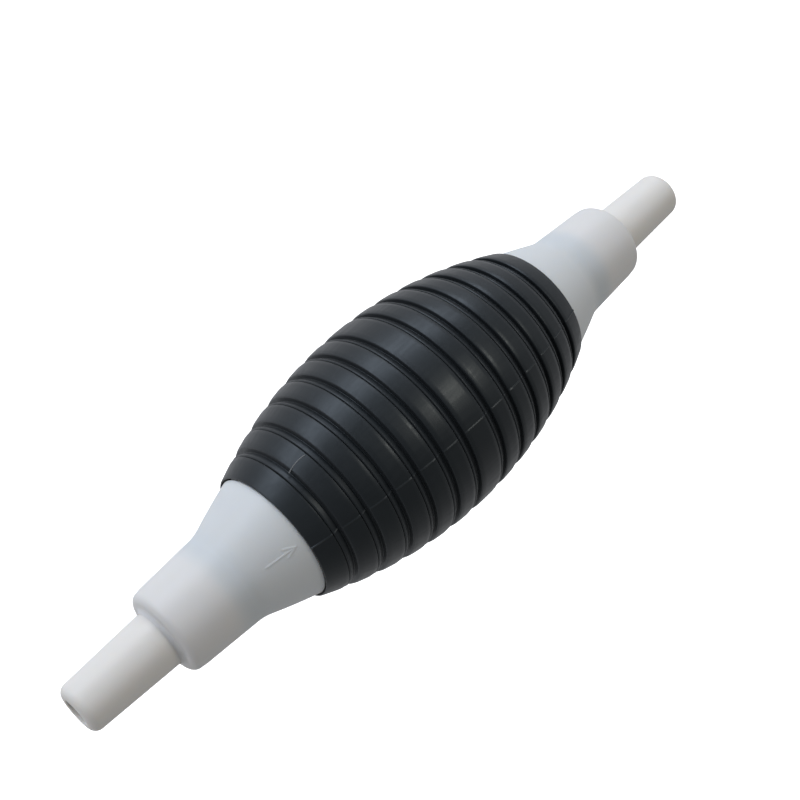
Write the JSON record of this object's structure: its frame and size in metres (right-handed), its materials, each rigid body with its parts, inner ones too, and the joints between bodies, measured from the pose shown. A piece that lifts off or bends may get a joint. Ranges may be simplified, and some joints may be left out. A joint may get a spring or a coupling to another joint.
{
  "type": "hand siphon primer bulb",
  "caption": "Ribbed rubber squeeze bulb with a tapered plastic hose nipple and a spring check valve at each end, for priming an aquarium siphon hose.",
  "frame": {"origin": "centre of the bulb, where the hand grips it", "axes": "+X along the flow, from the inlet nipple to the outlet nipple; +Z the side of the upper squeezed wall, square to the bulb's mould parting plane; +Y completes the frame"},
  "size_m": [0.2668, 0.07, 0.07],
  "materials": {
    "bulb_rubber": "satin black rubber",
    "fitting_plastic": "translucent white, satin moulded",
    "nipple_plastic": "translucent warm white, satin moulded",
    "valve_plastic": "natural pale moulded plastic",
    "seal_rubber": "matte black rubber",
    "spring_steel": "drawn stainless wire"
  },
  "bodies": {
    "root": {"bulb_body": "bulb_rubber", "inlet_end_fitting": "fitting_plastic", "inlet_hose_nipple": "nipple_plastic", "inlet_nipple_o_ring": "seal_rubber", "inlet_valve_seat": "valve_plastic", "inlet_seat_o_ring": "seal_rubber", "inlet_valve_spring": "spring_steel", "inlet_spring_cage": "valve_plastic", "outlet_end_fitting": "fitting_plastic", "outlet_hose_nipple": "nipple_plastic", "outlet_nipple_o_ring": "seal_rubber", "outlet_valve_seat": "valve_plastic", "outlet_seat_o_ring": "seal_rubber", "outlet_valve_spring": "spring_steel", "outlet_spring_cage": "valve_plastic"},
    "upper_wall": {"bulb_wall_upper": "bulb_rubber"},
    "lower_wall": {"bulb_wall_lower": "bulb_rubber"},
    "inlet_valve": {"inlet_valve_poppet": "valve_plastic", "inlet_poppet_washer": "seal_rubber"},
    "outlet_valve": {"outlet_valve_poppet": "valve_plastic", "outlet_poppet_washer": "seal_rubber"}
  },
  "joints": [
    {"name": "squeeze_upper", "type": "slide", "parent": "root", "child": "upper_wall", "axis": [0, 0, -1], "range_m": [0, 0.012], "stiffness_N_per_m": 1800},
    {"name": "squeeze_lower", "type": "slide", "parent": "root", "child": "lower_wall", "axis": [0, 0, 1], "range_m": [0, 0.012], "stiffness_N_per_m": 1800},
    {"name": "inlet_valve_lift", "type": "slide", "parent": "root", "child": "inlet_valve", "axis": [1, 0, 0], "range_m": [0, 0.003], "stiffness_N_per_m": 60, "springref_m": -0.002, "deforming": ["inlet_valve_spring"]},
    {"name": "outlet_valve_lift", "type": "slide", "parent": "root", "child": "outlet_valve", "axis": [1, 0, 0], "range_m": [0, 0.003], "stiffness_N_per_m": 60, "springref_m": -0.002, "deforming": ["outlet_valve_spring"]}
  ],
  "couplings": [
    {"joint": "squeeze_lower", "follows": "squeeze_upper", "ratio": 1}
  ]
}
